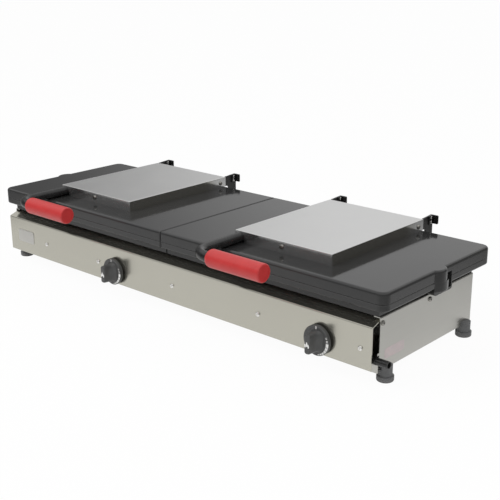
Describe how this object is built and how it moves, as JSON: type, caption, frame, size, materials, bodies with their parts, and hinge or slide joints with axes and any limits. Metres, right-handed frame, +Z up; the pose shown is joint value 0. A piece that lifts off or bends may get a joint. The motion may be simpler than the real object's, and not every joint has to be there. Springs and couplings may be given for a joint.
{
  "type": "commercial double sandwich press",
  "caption": "Gas countertop sandwich press: wide low stainless case on rubber feet, hinged ribbed cast plate lids with cover boxes and side grips, and push-and-turn knobs.",
  "frame": {"origin": "middle of the bounding box's underside: on the table, below the middle of the press", "axes": "+X along the front panel to the viewer's right, +Y from the knobs to the hinges, +Z up"},
  "size_m": [0.981, 0.4295, 0.1783],
  "materials": {
    "panel_steel": "brushed stainless sheet",
    "cover_steel": "satin stainless sheet",
    "plate_cast": "cast plate with a dark semi-gloss coating",
    "black_steel": "satin black paint",
    "rail_steel": "dull grey paint",
    "fastener": "bright plated",
    "gas_brass": "machined brass",
    "grip_red": "smooth red plastic",
    "knob_black": "satin black plastic",
    "foot_rubber": "moulded grey rubber",
    "burner_steel": "heat-dulled steel",
    "bezel_grey": "grey enamel",
    "name_metal": "satin, bare"
  },
  "bodies": {
    "base": {"front_panel": "panel_steel", "side_panel_left": "panel_steel", "side_panel_right": "panel_steel", "rear_panel": "panel_steel", "base_pan": "panel_steel", "front_rail": "rail_steel", "panel_brackets": "rail_steel", "mid_rail": "rail_steel", "seam_rail": "rail_steel", "pipe_clips": "rail_steel", "burner_cradles": "rail_steel", "hinge_bracket_left": "rail_steel", "hinge_bracket_right": "rail_steel", "name_plate": "name_metal", "feet": "foot_rubber", "front_screws": "fastener", "side_screws": "fastener", "rear_screws": "fastener", "hinge_rods": "fastener", "hinge_clips": "fastener", "valve_caps": "fastener", "manifold_pipe": "black_steel", "knob_bezels": "bezel_grey", "gas_valve_left": "gas_brass", "burner_left": "burner_steel", "lower_plate_left": "plate_cast", "gas_valve_right": "gas_brass", "burner_right": "burner_steel", "lower_plate_right": "plate_cast"},
    "lid_left": {"upper_plate_left": "plate_cast", "cover_box_left": "cover_steel", "hinge_arms_left": "black_steel", "stop_tabs_left": "black_steel", "tab_rivets_left": "fastener", "handle_bracket_left": "black_steel", "handle_tube_left": "black_steel", "grip_left": "grip_red", "cross_bolts_left": "fastener", "plate_bolts_left": "fastener", "cover_screws_left": "fastener"},
    "lid_right": {"upper_plate_right": "plate_cast", "cover_box_right": "cover_steel", "hinge_arms_right": "black_steel", "stop_tabs_right": "black_steel", "tab_rivets_right": "fastener", "handle_bracket_right": "black_steel", "handle_tube_right": "black_steel", "grip_right": "grip_red", "cross_bolts_right": "fastener", "plate_bolts_right": "fastener", "cover_screws_right": "fastener"},
    "plug_left": {"valve_plug_left": "gas_brass"},
    "plug_right": {"valve_plug_right": "gas_brass"},
    "knob_left": {"knob_left": "knob_black", "valve_stem_left": "fastener"},
    "knob_right": {"knob_right": "knob_black", "valve_stem_right": "fastener"}
  },
  "joints": [
    {"name": "lid_left_hinge", "type": "hinge", "parent": "base", "child": "lid_left", "pos_m": [-0.24275, 0.20375, 0.108], "axis": [-1, 0, 0], "range_deg": [0, 90]},
    {"name": "lid_right_hinge", "type": "hinge", "parent": "base", "child": "lid_right", "pos_m": [0.24275, 0.20375, 0.108], "axis": [-1, 0, 0], "range_deg": [0, 90]},
    {"name": "knob_left_turn", "type": "hinge", "parent": "base", "child": "plug_left", "pos_m": [-0.1255, -0.13625, 0.0515], "axis": [0, -1, 0], "range_deg": [0, 180]},
    {"name": "knob_left_push", "type": "slide", "parent": "plug_left", "child": "knob_left", "axis": [0, 1, 0], "range_m": [0, 0.0024], "stiffness_N_per_m": 900, "springref_m": -0.001},
    {"name": "knob_right_turn", "type": "hinge", "parent": "base", "child": "plug_right", "pos_m": [0.366, -0.13625, 0.0515], "axis": [0, -1, 0], "range_deg": [0, 180]},
    {"name": "knob_right_push", "type": "slide", "parent": "plug_right", "child": "knob_right", "axis": [0, 1, 0], "range_m": [0, 0.0024], "stiffness_N_per_m": 900, "springref_m": -0.001}
  ]
}
